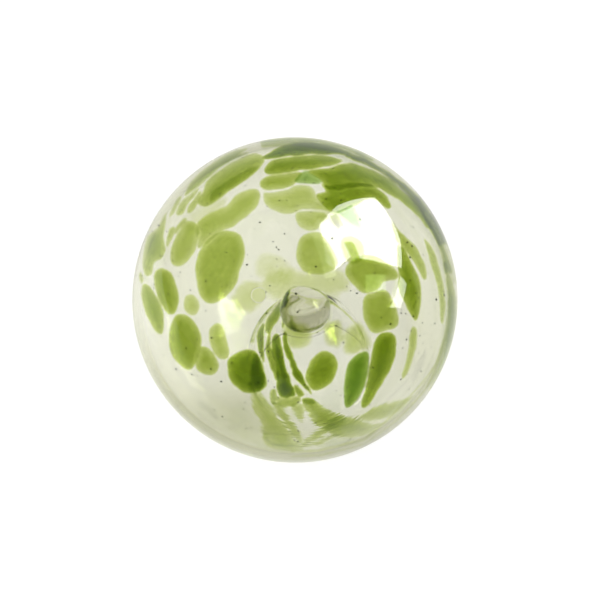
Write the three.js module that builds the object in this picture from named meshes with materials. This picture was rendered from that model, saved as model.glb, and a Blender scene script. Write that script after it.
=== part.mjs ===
// Blown glass ball with green flecks, standing on a narrow foot ring.
//
// The ball is hollow and sealed: while the glass was soft its neck was closed with a gather of clear
// glass and pushed up into the ball, which left a bell-shaped recess in the base, called the kick.
// The closed cavity inside can't be reached, so the ball is one solid here. Its skin is true: the
// sphere, the foot ring that it rests on and the recess under it.
//
// Millimetres, +Z up. The origin is the centre of the foot ring, on the surface that the ball stands on.

import * as THREE from 'three';

// Driving sizes of the ball
const ballDiameter = 100;

// Driving sizes of the foot ring, the flat band that the ball rests on
const footInnerRadius = 22.4;
const footWidth = 2;
const footOuterRound = 3;
const footInnerRound = 3;

// Driving sizes of the kick, the recess pushed up into the base
const collarHeight = 7.5;
const domeRise = 28.1;
const scarRadius = 3.5;
const kickLean = 3;

// How finely the round forms are faceted
const segments = 72;
const sphereSteps = 30;
const domeSteps = 12;
const innerRoundSteps = 6;
const outerRoundSteps = 3;

const degrees = Math.PI / 180;
const ballRadius = ballDiameter / 2;
const footOuterRadius = footInnerRadius + footWidth;
const collarRadius = footInnerRadius - footInnerRound;
const domeTop = collarHeight + domeRise * Math.sqrt(1 - (scarRadius / collarRadius) ** 2);

// The round under the ball meets the sphere where both have the same slope.
const springAngle = Math.asin(footOuterRadius / (ballRadius - footOuterRound));
const ballCentreHeight = footOuterRound + (ballRadius - footOuterRound) * Math.cos(springAngle);

// Points of an arc of a circle or an ellipse, in the half plane of radius and height. Angles are counted
// from straight down, so 90 degrees points away from the axis and 180 degrees points up.
function arc(centre, across, along, from, to, steps) {
  const points = [];
  for (let i = 0; i <= steps; i += 1) {
    const angle = from + ((to - from) * i) / steps;
    points.push(new THREE.Vector2(centre.x + across * Math.sin(angle), centre.y - along * Math.cos(angle)));
  }
  return points;
}

// The recess, from the small flat scar at its top down its dome and collar to the foot ring
function kickProfile() {
  const scarAngle = Math.PI - Math.asin(scarRadius / collarRadius);
  const springing = new THREE.Vector2(0, collarHeight);
  const dome = arc(springing, collarRadius, domeRise, scarAngle, 90 * degrees, domeSteps);
  const roundCentre = new THREE.Vector2(footInnerRadius, footInnerRound);
  const round = arc(roundCentre, footInnerRound, footInnerRound, -90 * degrees, 0, innerRoundSteps);
  return [new THREE.Vector2(0, domeTop), ...dome, ...round];
}

// The outside, from the foot ring's outer edge up to the crown of the ball
function ballProfile() {
  const roundCentre = new THREE.Vector2(footOuterRadius, footOuterRound);
  const round = arc(roundCentre, footOuterRound, footOuterRound, 0, springAngle, outerRoundSteps);
  const centre = new THREE.Vector2(0, ballCentreHeight);
  const sphere = arc(centre, ballRadius, ballRadius, springAngle, Math.PI, sphereSteps);
  sphere[sphereSteps].x = 0;
  return [...round, ...sphere.slice(1)];
}

// The kick was pushed up by hand, so it leans to one side as it rises.
function leanKick(geometry) {
  const position = geometry.getAttribute('position');
  const rings = position.count / (segments + 1);
  const kickRings = kickProfile().length;
  for (let i = 0; i < position.count; i += 1) {
    if (i % rings < kickRings) {
      const rise = position.getZ(i) / domeTop;
      position.setX(i, position.getX(i) + kickLean * rise ** 2);
    }
  }
  geometry.computeVertexNormals();
  return geometry;
}

function makeBall() {
  const profile = [...kickProfile(), ...ballProfile()];
  const geometry = new THREE.LatheGeometry(profile, segments);
  geometry.rotateX(90 * degrees);
  const glass = new THREE.MeshStandardMaterial({ color: 0xcfd9b0, roughness: 0.04, metalness: 0 });
  const ball = new THREE.Mesh(leanKick(geometry), glass);
  ball.name = 'glass_ball';
  return ball;
}

const object = new THREE.Group();
object.name = 'blown_glass_ball';
object.add(makeBall());

export default object;
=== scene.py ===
"""Blown glass ball with green flecks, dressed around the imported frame.

The ball is a thin clear bubble of glass that stands on a narrow foot ring. Its base is pushed up into it as
a bell, called the kick, and a lump of clear glass on top of the kick closes it. Sizes are in millimetres,
as the glass worker would give them, and turn into metres where a mesh is made.
"""

import logging
import math
from dataclasses import dataclass, field
from enum import Enum

import bpy
import numpy as np
from mathutils import Matrix, Vector

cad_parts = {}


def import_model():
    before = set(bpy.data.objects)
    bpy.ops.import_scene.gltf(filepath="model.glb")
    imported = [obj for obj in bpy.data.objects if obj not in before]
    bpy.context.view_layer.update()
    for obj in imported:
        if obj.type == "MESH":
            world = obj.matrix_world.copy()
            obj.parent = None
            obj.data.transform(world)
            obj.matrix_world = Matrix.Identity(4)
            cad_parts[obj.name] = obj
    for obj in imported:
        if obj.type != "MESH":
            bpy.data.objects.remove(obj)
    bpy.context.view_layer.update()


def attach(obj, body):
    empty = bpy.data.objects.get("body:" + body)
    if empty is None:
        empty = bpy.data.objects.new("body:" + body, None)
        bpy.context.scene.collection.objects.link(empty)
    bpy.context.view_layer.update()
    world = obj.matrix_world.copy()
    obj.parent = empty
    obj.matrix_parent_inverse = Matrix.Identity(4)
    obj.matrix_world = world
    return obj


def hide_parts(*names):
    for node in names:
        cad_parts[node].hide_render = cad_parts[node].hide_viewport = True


LOG = logging.getLogger("glass_ball")
METRES = 0.001
FRAME_WIDTH = 600
GLASS_INDEX = 1.5
# Pixels beyond a mark's edge where it is no longer measured.
FAR_OUTSIDE = 60.0
# Share of the cavity's radius that a ray through it may reach.
GRAZING = 0.9999
TINY = 1e-6


class Zone(Enum):
    """A part of the glass's skin. Bare skin takes no colour."""

    # The outside of the near wall and of the far wall.
    FRONT = 0
    BACK = 1
    # The kick's near flank, and the floor of the cavity around it.
    KICK = 2
    FLOOR = 3
    BARE = 4


class Tone(Enum):
    """How much colour a fleck holds, where 1 is the usual green fleck."""

    FAINT = 0.25
    PALE = 0.42
    SOFT = 0.62
    LIGHT = 0.8
    MID = 1.0
    FULL = 1.2
    DEEP = 1.5
    DARK = 1.8
    DARKEST = 2.6
    BLACK = 5.0


@dataclass(frozen=True)
class BallSizes:
    """Driving sizes of the ball, in millimetres: the same as the solid's, and the wall behind its skin."""

    ball_radius: float = 50.0
    foot_inner_radius: float = 22.4
    foot_width: float = 2.0
    foot_outer_round: float = 3.0
    foot_inner_round: float = 3.0
    collar_height: float = 7.5
    dome_rise: float = 28.1
    scar_radius: float = 3.5
    kick_lean: float = 3.0
    wall: float = 2.7

    @property
    def foot_outer_radius(self) -> float:
        """Outer edge of the flat band that the ball stands on."""
        return self.foot_inner_radius + self.foot_width

    @property
    def collar_radius(self) -> float:
        """Radius of the recess where its sides stand upright."""
        return self.foot_inner_radius - self.foot_inner_round

    @property
    def dome_top(self) -> float:
        """Height of the small flat scar at the top of the recess."""
        share = self.scar_radius / self.collar_radius
        return self.collar_height + self.dome_rise * math.sqrt(1 - share**2)

    @property
    def spring_angle(self) -> float:
        """Angle from straight down at which the foot's round meets the sphere."""
        return math.asin(self.foot_outer_radius / (self.ball_radius - self.foot_outer_round))

    @property
    def centre_height(self) -> float:
        """Height of the ball's centre."""
        round_path = self.ball_radius - self.foot_outer_round
        return self.foot_outer_round + round_path * math.cos(self.spring_angle)

    @property
    def centre(self) -> np.ndarray:
        """The ball's centre."""
        return np.array([0.0, 0.0, self.centre_height])

    @property
    def cavity_radius(self) -> float:
        """Radius of the sealed cavity."""
        return self.ball_radius - self.wall

    def lean(self, height: np.ndarray) -> np.ndarray:
        """Sideways shift of the kick at a height.

        Args:
            height: heights above the foot, in millimetres.

        Returns:
            The shift towards +X at each height.
        """
        return self.kick_lean * (height / self.dome_top) ** 2


def unit(rows: np.ndarray) -> np.ndarray:
    """Vectors of the same direction and of length one."""
    return rows / np.maximum(np.linalg.norm(rows, axis=-1, keepdims=True), TINY)


def make_object(name: str, points: np.ndarray, faces: list) -> bpy.types.Object:
    """Makes a mesh object and puts it into the scene.

    Args:
        name: its name.
        points: its points in metres.
        faces: its faces.

    Returns:
        The object.
    """
    mesh = bpy.data.meshes.new(name)
    mesh.from_pydata(np.asarray(points).tolist(), [], faces)
    made = bpy.data.objects.new(name, mesh)
    bpy.context.collection.objects.link(made)
    return made


def arc(centre: tuple, across: float, along: float, start: float, end: float, steps: int) -> np.ndarray:
    """Points of an arc in the half plane of radius and height.

    Args:
        centre: radius and height of the arc's centre.
        across: half width of its ellipse.
        along: half height of its ellipse.
        start: first angle, counted from straight down.
        end: last angle.
        steps: number of steps between them.

    Returns:
        One row of radius and height for each point.
    """
    angle = np.linspace(start, end, steps + 1)
    return np.stack([centre[0] + across * np.sin(angle), centre[1] - along * np.cos(angle)], axis=1)


@dataclass(frozen=True)
class PhotoCamera:
    """The photograph's camera, worked out from the ball's outline and the slant of its foot ring."""

    ball_pixel: tuple = (295.0, 300.0)
    ball_radius_pixels: float = 163.0
    distance: float = 450.0
    elevation: float = 53.0
    roll: float = 12.0
    sensor: float = 36.0

    def axes(self) -> tuple:
        """Right, up and forward of the camera, as unit vectors."""
        rise = math.radians(self.elevation)
        turn = math.radians(self.roll)
        forward = np.array([0.0, math.cos(rise), -math.sin(rise)])
        level_right = np.array([1.0, 0.0, 0.0])
        level_up = np.array([0.0, math.sin(rise), math.cos(rise)])
        right = level_right * math.cos(turn) - level_up * math.sin(turn)
        up = level_up * math.cos(turn) + level_right * math.sin(turn)
        return right, up, forward

    def focal_pixels(self, ball_radius: float) -> float:
        """Focal length in pixels, which puts the ball's outline at its radius in the photograph."""
        return self.ball_radius_pixels / math.tan(math.asin(ball_radius / self.distance))

    def place(self, sizes: BallSizes) -> np.ndarray:
        """Where the camera stands, in millimetres."""
        right, up, forward = self.axes()
        scale = self.distance / self.focal_pixels(sizes.ball_radius)
        across = (FRAME_WIDTH / 2 - self.ball_pixel[0]) * scale
        down = (FRAME_WIDTH / 2 - self.ball_pixel[1]) * scale
        return sizes.centre - forward * self.distance + right * across - up * down

    def project(self, points: np.ndarray, sizes: BallSizes) -> np.ndarray:
        """Pixels at which points would be seen with nothing in front of them.

        Args:
            points: points in millimetres, one row each.
            sizes: the ball, which the camera is aimed at.

        Returns:
            One row of pixel column and row for each point.
        """
        right, up, forward = self.axes()
        offset = points - self.place(sizes)
        depth = offset @ forward
        focal = self.focal_pixels(sizes.ball_radius)
        half = FRAME_WIDTH / 2
        column = half + focal * (offset @ right) / depth
        row = half - focal * (offset @ up) / depth
        return np.stack([column, row], axis=1)

    def make(self, sizes: BallSizes) -> bpy.types.Object:
        """Makes the Blender camera and hands the scene to it.

        Args:
            sizes: the ball, which the camera is aimed at.

        Returns:
            The camera object.
        """
        right, up, forward = self.axes()
        data = bpy.data.cameras.new("photo_camera")
        data.sensor_width = self.sensor
        data.lens = self.sensor * self.focal_pixels(sizes.ball_radius) / FRAME_WIDTH
        data.clip_start = 0.01
        data.clip_end = 50.0
        camera = bpy.data.objects.new("photo_camera", data)
        bpy.context.collection.objects.link(camera)
        turn = Matrix((right, up, -forward)).transposed().to_4x4()
        camera.matrix_world = Matrix.Translation(Vector(self.place(sizes) * METRES)) @ turn
        bpy.context.scene.camera = camera
        return camera


@dataclass(frozen=True)
class ShellView:
    """How the far wall shows through the near one: a thin round shell shifts it a little outward."""

    sizes: BallSizes
    camera: PhotoCamera
    table_rows: int = 400
    rounds: int = 4

    def limb_angle(self) -> float:
        """Angle at the ball's centre, from the camera's direction, of its outline."""
        return math.acos(self.sizes.ball_radius / self.camera.distance)

    def wall_turn(self, miss: np.ndarray) -> np.ndarray:
        """How far round the ball's centre rays run in the wall, for how far each misses the centre."""
        inner = np.arcsin(miss / (GLASS_INDEX * self.sizes.cavity_radius))
        return inner - np.arcsin(miss / (GLASS_INDEX * self.sizes.ball_radius))

    def far_wall_table(self) -> tuple:
        """For rays through the ball, the angle where each leaves the far wall and its radius in pixels."""
        outer = self.sizes.ball_radius
        inner = self.sizes.cavity_radius
        miss = np.linspace(0.0, inner * GRAZING, self.table_rows)
        slant = np.arcsin(miss / self.camera.distance)
        through = 2 * self.wall_turn(miss) + math.pi - 2 * np.arcsin(miss / inner)
        leave = np.arcsin(miss / outer) - slant + through
        pixels = np.tan(slant) * self.camera.focal_pixels(outer)
        return leave, pixels

    def toward_camera(self) -> np.ndarray:
        """Direction from the ball's centre to the camera."""
        return unit(self.camera.place(self.sizes) - self.sizes.centre)

    def outer_skin(self, points: np.ndarray, recess: np.ndarray) -> tuple:
        """Sorts points of the outer skin into zones and says at which pixel each is seen.

        Args:
            points: points of the outer skin in millimetres.
            recess: true for the points of the recess, which stay bare.

        Returns:
            The zone number and the pixel of each point.
        """
        pixels = self.camera.project(points, self.sizes)
        angle = np.arccos(np.clip(unit(points - self.sizes.centre) @ self.toward_camera(), -1, 1))
        leave, reach = self.far_wall_table()
        far_reach = np.interp(angle, leave[::-1], reach[::-1])
        hub = np.array(self.camera.ball_pixel)
        back = angle > self.limb_angle()
        pixels = np.where(back[:, None], hub + unit(pixels - hub) * far_reach[:, None], pixels)
        zone = np.where(back, Zone.BACK.value, Zone.FRONT.value)
        return np.where(recess, Zone.BARE.value, zone), pixels

    def inner_skin(self, points: np.ndarray, on_kick: np.ndarray, facing: np.ndarray) -> tuple:
        """Sorts points of the cavity's skin into zones and says at which pixel each is seen.

        Inside the cavity a ray runs as it would with no glass, turned a little about the ball's centre.

        Args:
            points: points of the cavity's skin in millimetres.
            on_kick: true for the points of the kick.
            facing: true for the kick's points that look at the camera.

        Returns:
            The zone number and the pixel of each point.
        """
        outer = self.sizes.ball_radius
        inner = self.sizes.cavity_radius
        hub = np.array(self.camera.ball_pixel)
        toward = self.toward_camera()
        offset = points - self.sizes.centre
        along = offset @ toward
        side = offset - along[:, None] * toward
        side_length = np.maximum(np.linalg.norm(side, axis=1), TINY)
        distance = np.hypot(along, side_length)
        angle = np.arctan2(side_length, along)
        pixels = self.camera.project(points, self.sizes)
        for _ in range(self.rounds):
            slant = np.arctan(np.linalg.norm(pixels - hub, axis=1) / self.camera.focal_pixels(outer))
            miss = np.clip(self.camera.distance * np.sin(slant), 0, inner * GRAZING)
            straight = np.arcsin(miss / inner) - np.arcsin(miss / outer)
            seen = angle + straight - self.wall_turn(miss)
            moved = np.cos(seen)[:, None] * toward + (np.sin(seen) / side_length)[:, None] * side
            pixels = self.camera.project(self.sizes.centre + moved * distance[:, None], self.sizes)
        floor = (angle > self.limb_angle()) & ~on_kick
        zone = np.where(floor, Zone.FLOOR.value, Zone.BARE.value)
        return np.where(on_kick & facing, Zone.KICK.value, zone), pixels

    def near_wall_point(self, pixel: tuple, depth: float) -> np.ndarray:
        """The point of the near wall, at a depth under its skin, that shows at a pixel.

        Args:
            pixel: column and row in the photograph.
            depth: how deep in the wall, in millimetres.

        Returns:
            The point in millimetres.
        """
        right, up, forward = self.camera.axes()
        place = self.camera.place(self.sizes)
        half = FRAME_WIDTH / 2
        focal = self.camera.focal_pixels(self.sizes.ball_radius)
        ray = unit(forward * focal + right * (pixel[0] - half) - up * (pixel[1] - half))
        centre = self.sizes.centre
        back = (centre - place) @ ray
        miss = np.linalg.norm(place + ray * back - centre)
        skin = place + ray * (back - math.sqrt(self.sizes.ball_radius**2 - miss**2))
        return skin - (skin - centre) / self.sizes.ball_radius * depth


@dataclass(frozen=True)
class Fleck:
    """One melted-in chip of green glass, an oval placed by where the photograph shows it.

    Its centre, half length and half width are in the photograph's pixels, and its turn in degrees from the
    picture's right, clockwise.
    """

    at: tuple
    length: float
    width: float
    turn: float = 0.0
    tone: Tone = Tone.MID
    zone: Zone = Zone.FRONT
    blue: float = 0.0
    softness: float = 1.0

    def inside(self, pixels: np.ndarray) -> np.ndarray:
        """Distance inside the fleck's edge.

        Args:
            pixels: places in the photograph.

        Returns:
            Pixels inside the edge, or below zero outside it.
        """
        angle = math.radians(self.turn)
        offset = pixels - np.array(self.at)
        along = offset @ np.array([math.cos(angle), math.sin(angle)])
        across = offset @ np.array([-math.sin(angle), math.cos(angle)])
        near = np.hypot(along / self.length, across / self.width)
        steep = np.hypot(along / self.length**2, across / self.width**2)
        return near * (1 - near) / np.maximum(steep, TINY) / self.softness


@dataclass(frozen=True)
class Streak:
    """A trail of green glass along a line of the photograph, with its half width at each end."""

    path: tuple
    start_width: float
    end_width: float
    tone: Tone = Tone.MID
    zone: Zone = Zone.KICK
    blue: float = 0.0

    def inside(self, pixels: np.ndarray) -> np.ndarray:
        """Distance inside the streak's edge.

        Args:
            pixels: places in the photograph.

        Returns:
            Pixels inside the edge, or below zero outside it.
        """
        nodes = np.array(self.path, float)
        spans = np.linalg.norm(np.diff(nodes, axis=0), axis=1)
        run = np.concatenate([[0.0], np.cumsum(spans)])
        best = np.full(len(pixels), -float(FRAME_WIDTH))
        for index, span in enumerate(spans):
            start = nodes[index]
            step = nodes[index + 1] - start
            share = np.clip((pixels - start) @ step / span**2, 0, 1)
            gap = np.linalg.norm(pixels - start - share[:, None] * step, axis=1)
            place = (run[index] + share * span) / run[-1]
            width = self.start_width + (self.end_width - self.start_width) * place
            best = np.maximum(best, width - gap)
        return best


@dataclass(frozen=True)
class Patch:
    """One melted-in chip of green glass with an uneven edge, drawn by a few points of its outline.

    Rounding is how many points a smooth curve gets for each of them.
    """

    outline: tuple
    tone: Tone = Tone.MID
    zone: Zone = Zone.FRONT
    blue: float = 0.0
    softness: float = 1.0
    rounding: int = 3

    def smooth_outline(self) -> np.ndarray:
        """Rounds the outline with a curve through its points."""
        nodes = np.array(self.outline, float)
        before, after = np.roll(nodes, 1, axis=0), np.roll(nodes, -1, axis=0)
        beyond = np.roll(nodes, -2, axis=0)
        curve = []
        for step in range(self.rounding):
            t = step / self.rounding
            curve.append(
                nodes
                + 0.5 * t * (after - before)
                + t**2 * (before - 2.5 * nodes + 2 * after - 0.5 * beyond)
                + t**3 * (-0.5 * before + 1.5 * nodes - 1.5 * after + 0.5 * beyond)
            )
        return np.stack(curve, axis=1).reshape(-1, 2)

    def inside(self, pixels: np.ndarray) -> np.ndarray:
        """Distance inside the patch's edge.

        Args:
            pixels: places in the photograph.

        Returns:
            Pixels inside the edge, or below zero outside it.
        """
        nodes = self.smooth_outline()
        low, high = nodes.min(axis=0) - FAR_OUTSIDE, nodes.max(axis=0) + FAR_OUTSIDE
        near = np.all((pixels > low) & (pixels < high), axis=1)
        spots = pixels[near]
        gap = np.full(len(spots), float(FRAME_WIDTH))
        within = np.zeros(len(spots), bool)
        for start, end in zip(nodes, np.roll(nodes, -1, axis=0)):
            step = end - start
            share = np.clip((spots - start) @ step / max(step @ step, TINY), 0, 1)
            gap = np.minimum(gap, np.linalg.norm(spots - start - share[:, None] * step, axis=1))
            crosses = (start[1] > spots[:, 1]) != (end[1] > spots[:, 1])
            rise = step[1] or TINY
            within ^= crosses & (spots[:, 0] < step[0] * (spots[:, 1] - start[1]) / rise + start[0])
        result = np.full(len(pixels), -FAR_OUTSIDE)
        result[near] = np.where(within, gap, -gap) / self.softness
        return result


def outer_wall_flecks() -> list:
    """The flecks on the wall that faces the camera, clockwise from the left."""
    return [
        Patch(((166, 214), (158, 228), (147.5, 237), (144, 253), (143, 267), (146.5, 275.5), (151, 273),
               (154.5, 262.5), (162, 257), (165, 248.5), (163.5, 235)), Tone.MID),
        Patch(((184.5, 196), (190, 184), (198, 175), (209, 166), (221, 157.5), (232, 152), (241, 149.5),
               (247, 148.5), (242, 153), (230, 160.5), (217, 169.5), (204.5, 180.5), (194, 189)),
               Tone.FULL),
        Patch(((199, 204), (199.5, 198), (204, 190), (205.5, 184.5), (211, 178), (219, 171), (230, 163.5),
               (241, 158), (252, 154.5), (261, 155), (264, 160), (262, 165), (256, 172), (245.5, 179.5),
               (235, 187), (224.5, 195), (214, 202.5), (206.5, 206.5)), Tone.MID),
        Patch(((210, 198), (217, 188), (232, 178), (248, 169), (259, 166), (256, 171), (240, 182),
               (224, 194), (212, 202)), Tone.SOFT),
        Patch(((176.5, 214.5), (179, 206), (183.5, 199.5), (191, 194), (198, 189), (194, 197.5),
               (187.5, 204), (184.5, 211), (180, 215)), Tone.LIGHT),
        Patch(((187.5, 212), (188.5, 206), (194, 198.5), (199, 192), (201, 193), (198, 201.5), (194, 209),
               (190, 213)), Tone.LIGHT),
        Patch(((169.5, 217), (172, 209), (176, 200.5), (180, 196), (181.5, 198), (177, 206),
               (173, 213)), Tone.LIGHT),
        Patch(((169.5, 230), (174, 227), (174.5, 231), (172, 238.5), (168.5, 245), (166.5, 247),
               (166.5, 239.5)), Tone.LIGHT),
        Patch(((184.5, 218), (186, 220.5), (180, 228), (176, 233.5), (175.5, 231), (178, 224.5)),
               Tone.LIGHT),
        Patch(((186.5, 221), (192, 221.5), (197.5, 226), (198, 235), (196, 249), (186.5, 262.5),
               (177.5, 266), (171.5, 262.5), (170.5, 253), (175, 239.5), (182, 228)), Tone.LIGHT),
        Patch(((198, 222), (208.5, 214.5), (219, 209.5), (226.5, 206), (233, 198.5), (240, 193),
               (248.5, 190), (256, 189.5), (259.5, 193), (259.5, 199), (256, 207), (248.5, 214.5),
               (240, 220.5), (233, 227), (224.5, 229.5), (217, 234), (208.5, 241.5), (200, 248),
               (197.5, 247), (197.5, 234)), Tone.LIGHT),
        Patch(((218.5, 232.5), (230, 231), (239.5, 235), (244, 246.5), (244, 258), (239.5, 271.5),
               (235, 285.5), (225.5, 297), (214, 303), (205, 301.5), (199, 292), (197, 281), (196, 267),
               (199, 253), (207, 241.5)), Tone.MID),
        Patch(((160, 269), (168, 270.5), (174, 278.5), (177.5, 290), (178.5, 301.5), (175, 311.5),
               (169.5, 314), (163.5, 308), (158, 297), (154.5, 283), (155.5, 272.5)), Tone.FULL),
        Patch(((145, 284), (152, 290), (159, 301.5), (163.5, 315), (163.5, 326.5), (161, 334),
               (154.5, 329), (147.5, 317.5), (143, 303.5), (141.5, 292), (142.5, 285.5)), Tone.FULL),
        Patch(((177.5, 315), (186.5, 315.5), (194.5, 323), (200.5, 333.5), (201.5, 345), (197.5, 358),
               (191, 369), (184, 368), (176, 361), (170.5, 349.5), (169.5, 336), (172, 322)), Tone.FULL),
        Patch(((201, 346.5), (209.5, 349.5), (217.5, 360), (218.5, 368), (214, 374), (205, 374.5),
               (197, 369), (196.5, 359)), Tone.MID),
        Patch(((209.5, 331), (216.5, 323), (223, 326.5), (226.5, 340.5), (229, 354), (225.5, 359),
               (217.5, 357.5), (211, 346)), Tone.LIGHT),
        Patch(((185.5, 297), (193.5, 295.5), (199, 303.5), (197, 313), (190, 314.5), (184.5, 308)),
               Tone.SOFT),
        Fleck((141, 278), 5, 1.6, 80, Tone.MID),
        Patch(((263, 158), (270, 153), (276, 149), (286.5, 144.5), (300, 142.5), (312, 142.5),
               (323.5, 144), (334.5, 147.5), (343.5, 150.5), (351, 153.5), (337, 154), (312, 153.5),
               (297, 155), (287.5, 156), (276, 158)), Tone.DARKEST),
        Patch(((265.5, 172), (265, 168), (270.5, 161.5), (280, 158), (300, 156), (318, 155), (329, 156.5),
               (337, 158.5), (342, 161), (337, 163.5), (329, 166), (312, 169), (301, 170), (287.5, 172),
               (276, 174), (268.5, 174.5)), Tone.DEEP),
        Patch(((259.5, 182.5), (264.5, 178), (272, 175), (284.5, 173.5), (300, 172), (302, 175),
               (298, 180), (294, 184), (287.5, 187.5), (277, 189.5), (266.5, 190.5), (261, 187)), Tone.MID),
        Patch(((295, 180), (301, 173), (306.5, 171), (312, 174), (318, 178), (321.5, 181.5), (318, 183.5),
               (306.5, 183.5), (298, 183.5)), Tone.FULL, blue=0.4),
        Patch(((308, 171.5), (318, 169), (332.5, 167.5), (343.5, 163.5), (357, 164.5), (368, 168.5),
               (379.5, 173.5), (390.5, 180), (401.5, 190.5), (413, 199), (422, 210.5), (428.5, 221.5),
               (432.5, 229), (426, 227), (419.5, 218), (410.5, 209), (401.5, 201.5), (390.5, 194.5),
               (379.5, 188.5), (366, 186), (350, 188), (336, 190), (326, 188), (322.5, 181.5),
               (315, 176)), Tone.DEEP),
        Patch(((322, 184), (330, 186), (350, 183), (366, 183.5), (375, 187), (382.5, 192.5), (388, 199),
               (390.5, 206), (388, 208.5), (385, 207), (379.5, 201.5), (373.5, 198.5), (368, 198.5),
               (361.5, 201.5), (352.5, 206), (343.5, 210.5), (337, 213), (332.5, 211.5), (323.5, 206),
               (318, 199), (317, 194.5), (326, 192)), Tone.DEEP),
        Patch(((264.5, 192), (263.5, 198.5), (265.5, 204), (272, 209), (282.5, 213), (293, 213),
               (301, 209.5), (312, 209), (323.5, 210), (333, 212.5), (328, 207), (321, 201), (316, 196),
               (314, 190), (308, 185.5), (297, 185), (287.5, 189.5), (277, 191.5), (268.5, 192.5)),
               Tone.SOFT),
        Patch(((295.5, 215), (296.5, 221.5), (301, 227), (309, 230.5), (317, 229.5), (321.5, 222.5),
               (327, 218), (324.5, 213), (312, 211.5), (300, 211.5)), Tone.SOFT),
        Patch(((297, 248.5), (301.5, 237), (310.5, 232.5), (319.5, 232.5), (327, 241), (336, 255.5),
               (337, 267), (326.5, 272.5), (315, 274.5), (303.5, 270.5), (297, 261)), Tone.LIGHT),
        Patch(((341, 240), (352, 236), (362, 242), (364, 256), (356, 264), (348, 262), (343, 252)),
               Tone.SOFT),
        Patch(((345, 271.5), (352, 260), (363.5, 255.5), (377, 257.5), (395.5, 269), (398, 278.5),
               (384, 281), (377, 290), (363.5, 293), (354, 285.5)), Tone.MID),
        Patch(((364.5, 297), (375, 292), (386.5, 290.5), (393, 301.5), (398, 315), (396.5, 326.5),
               (386.5, 330), (375, 333), (367, 326.5), (363, 313)), Tone.MID),
        Patch(((373.5, 349.5), (377, 338), (384, 333), (393, 334), (395.5, 341), (394.5, 356.5),
               (388.5, 372.5), (377, 391), (368, 404.5), (362, 407), (363.5, 395.5), (368, 379.5),
               (370.5, 363.5)), Tone.DARK),
        Patch(((352, 359), (361, 353), (367.5, 353), (368.5, 363.5), (366, 379.5), (362.5, 391),
               (354, 402.5), (346, 407), (344, 395.5), (345, 379.5), (347.5, 368)), Tone.DARK, blue=0.25),
        Patch(((311.5, 361), (319.5, 353), (329, 352), (336, 359), (336.5, 370), (331, 381.5),
               (322, 388.5), (313, 389.5), (306, 381.5), (306, 372.5)), Tone.DEEP),
        Patch(((391.5, 221.5), (396.5, 229), (405.5, 237), (414.5, 246), (422, 258.5), (426, 271.5),
               (426, 279), (423.5, 279), (419.5, 272.5), (414.5, 262.5), (409.5, 256), (403, 248.5),
               (397.5, 242), (394, 233)), Tone.MID),
        Patch(((398, 245), (405.5, 252), (410.5, 262), (417, 274), (421, 289), (420.5, 302), (418.5, 315),
               (415.5, 320), (412, 316.5), (407, 307), (401.5, 295.5), (398, 286.5), (399, 276.5),
               (398, 261)), Tone.DEEP),
        Patch(((424, 238), (431, 247), (436, 257.5), (440, 271.5), (444, 289.5), (444.5, 308.5),
               (443, 322.5), (441, 320), (440, 304.5), (437.5, 286.5), (433.5, 271.5), (429.5, 257.5),
               (426, 247)), Tone.MID),
        Patch(((412.5, 327), (416.5, 329), (417, 338), (415, 350.5), (410.5, 366), (405.5, 376),
               (402.5, 378.5), (403, 372), (406, 360.5), (408.5, 346.5), (410, 335)), Tone.LIGHT),
        Patch(((228, 364), (231, 357), (240, 352), (249.5, 350), (257, 355), (262, 369), (265, 380.5),
               (263, 388.5), (255.5, 392), (244, 392), (236, 386), (230, 379)), Tone.DARK),
    ]


def rim_flecks() -> list:
    """The flecks that wrap over the outline, so that both walls carry them."""
    front, back = Zone.FRONT, Zone.BACK
    right_band = ((444, 262), (447.5, 268), (453, 286), (457, 302), (457, 319), (455, 334), (451, 348),
                  (444.5, 364), (438, 377), (429, 391), (434.5, 378.5), (440, 367), (444, 353),
                  (446.5, 338), (448.5, 321), (449, 308), (448, 292), (446, 276.5))
    marks = [Patch(right_band, Tone.FULL, zone) for zone in (front, back)]
    crown_band = ((347, 155.5), (365, 160.6), (385, 172), (403, 185), (419.6, 201.4), (435, 222),
                  (445, 242))
    marks.append(Streak(crown_band, 1.5, 2.2, Tone.DARKEST, front))
    inner_band = ((410, 195), (418, 200), (425.9, 219.1), (434.8, 233.2), (442.5, 248.5), (447.6, 263.8),
                  (450.8, 271.4))
    marks.append(Streak(inner_band, 1.4, 2.0, Tone.DARK, front))
    outer_line = ((352, 158), (385, 172), (423.4, 200), (433.6, 212.8), (441.2, 226.8), (447.6, 242.1),
                  (452.7, 257.4), (455.3, 271.4), (456.5, 282.9))
    marks.append(Streak(outer_line, 1.0, 1.2, Tone.FULL, front))
    olive_line = ((356, 149), (377.6, 158), (396.7, 170.8), (415.8, 187.4), (432.4, 206.5), (445, 229.5))
    marks.append(Streak(olive_line, 0.7, 0.9, Tone.DARK, front))
    crown_edge = ((262, 141.5), (290, 139), (320, 140.5), (350, 149), (372, 160))
    marks += [Streak(crown_edge, 1.3, 1.3, Tone.DARK, zone) for zone in (front, back)]
    low_lines, spacing = 4, 2.6
    for step in range(low_lines):
        gap = spacing * step
        low_line = ((452 - gap, 340), (443 - gap, 366), (426 - gap, 395 - gap), (400 - gap, 423 - gap),
                    (365, 447 - gap), (320, 458 - gap), (292, 459 - gap))
        marks.append(Streak(low_line, 0.5, 0.7, (Tone.SOFT, Tone.PALE)[step % 2], (back, front)[step % 2]))
    return marks


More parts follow.
